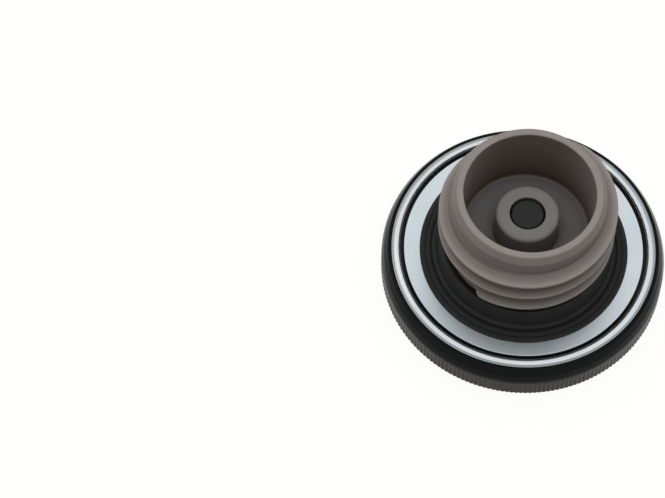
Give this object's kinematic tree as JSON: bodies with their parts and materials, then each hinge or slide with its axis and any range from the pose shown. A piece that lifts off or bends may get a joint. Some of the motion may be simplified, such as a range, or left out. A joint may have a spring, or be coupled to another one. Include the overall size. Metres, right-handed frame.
{
  "type": "fuel filler cap",
  "caption": "Round screw-in fuel filler cap: knurled black cover, silver ring and plate, rubber gasket, coarse-threaded neck with a vent valve; the cover ratchets on the neck.",
  "frame": {"origin": "centre of the cover's flat outer face, which the cap rests on", "axes": "+Z along the cap's axis towards the mouth of the threaded neck; +X is a free choice, because only the thread and the ratchet are not round"},
  "size_m": [0.0806, 0.0806, 0.045],
  "materials": {
    "black_enamel": "glossy black enamel on pressed steel",
    "zinc_plate": "bright zinc plating",
    "neck_nylon": "moulded brown-grey nylon, satin",
    "black_rubber": "moulded nitrile rubber, matte",
    "natural_acetal": "moulded acetal, natural colour",
    "black_acetal": "moulded acetal, black",
    "spring_steel": "bare spring steel, lightly oiled"
  },
  "bodies": {
    "neck_assembly": {"neck": "neck_nylon", "flange_plate": "zinc_plate", "gasket": "black_rubber", "slip_ring": "black_acetal", "pawl_plate": "natural_acetal", "screws": "zinc_plate", "spring_retainer": "neck_nylon", "pressure_spring": "spring_steel"},
    "cover_assembly": {"cover": "black_enamel", "retaining_ring": "zinc_plate", "ratchet_ring": "black_acetal", "spring_washer": "spring_steel"},
    "pressure_valve": {"pressure_disc": "natural_acetal", "valve_seal": "black_rubber", "vacuum_spring": "spring_steel"},
    "vacuum_valve": {"vacuum_poppet": "black_acetal", "stem_clip": "spring_steel"}
  },
  "joints": [
    {"name": "cover_turn", "type": "hinge", "parent": "neck_assembly", "child": "cover_assembly", "pos_m": [0, 0, 0], "axis": [0, 0, 1], "range_deg": [0, 360], "deforming": ["pawl_plate"]},
    {"name": "pressure_slide", "type": "slide", "parent": "neck_assembly", "child": "pressure_valve", "axis": [0, 0, -1], "range_m": [0, 0.0015], "stiffness_N_per_m": 900, "springref_m": -0.004, "deforming": ["pressure_spring"]},
    {"name": "vacuum_slide", "type": "slide", "parent": "pressure_valve", "child": "vacuum_valve", "axis": [0, 0, 1], "range_m": [0, 0.0012], "stiffness_N_per_m": 60, "springref_m": -0.002, "deforming": ["vacuum_spring"]}
  ]
}
